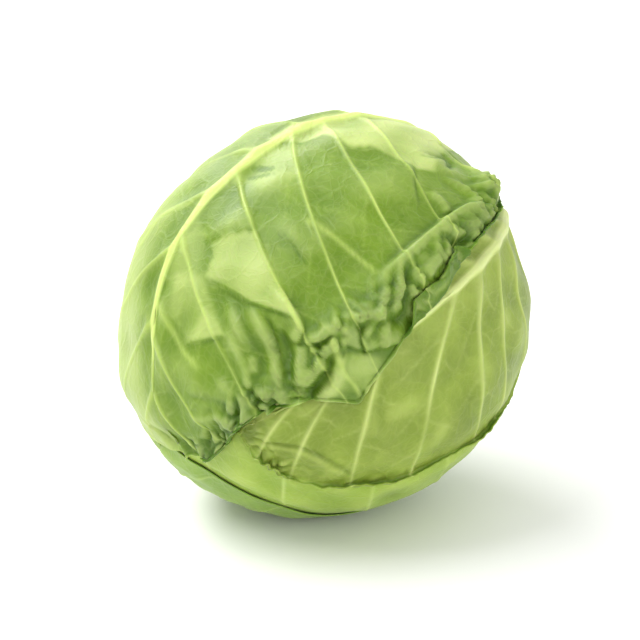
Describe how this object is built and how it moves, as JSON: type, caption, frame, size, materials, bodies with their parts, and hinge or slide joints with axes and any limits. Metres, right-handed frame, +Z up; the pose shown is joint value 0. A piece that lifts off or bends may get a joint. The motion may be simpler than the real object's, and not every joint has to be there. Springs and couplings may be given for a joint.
{
  "type": "cabbage head",
  "caption": "Round head of white cabbage lying on its side, with large ribbed wrapper leaves closed round a dense heart and a cut stump.",
  "frame": {"origin": "on the surface that the head rests on, below the middle of its box", "axes": "+Z up, -Y towards the viewer of the picture, +X to the right. The head's own axis runs from the crown, low at the front left, to the stump, high at the back right."},
  "size_m": [0.173, 0.1772, 0.1659],
  "materials": {
    "outer_leaf": "waxy mid-green leaf with raised pale veins",
    "pale_leaf": "waxy pale yellow-green leaf with thick pale ribs",
    "inner_leaf": "waxy light green leaf with raised pale veins",
    "heart": "tight pale green leaves, lightly waxed",
    "stump": "cut stem, pale, fibrous and slightly dried"
  },
  "bodies": {
    "root": {"heart": "heart", "left_leaf": "inner_leaf", "bottom_leaf": "inner_leaf", "right_leaf": "pale_leaf", "back_leaf": "outer_leaf", "front_leaf": "outer_leaf", "stump": "stump"}
  },
  "joints": []
}
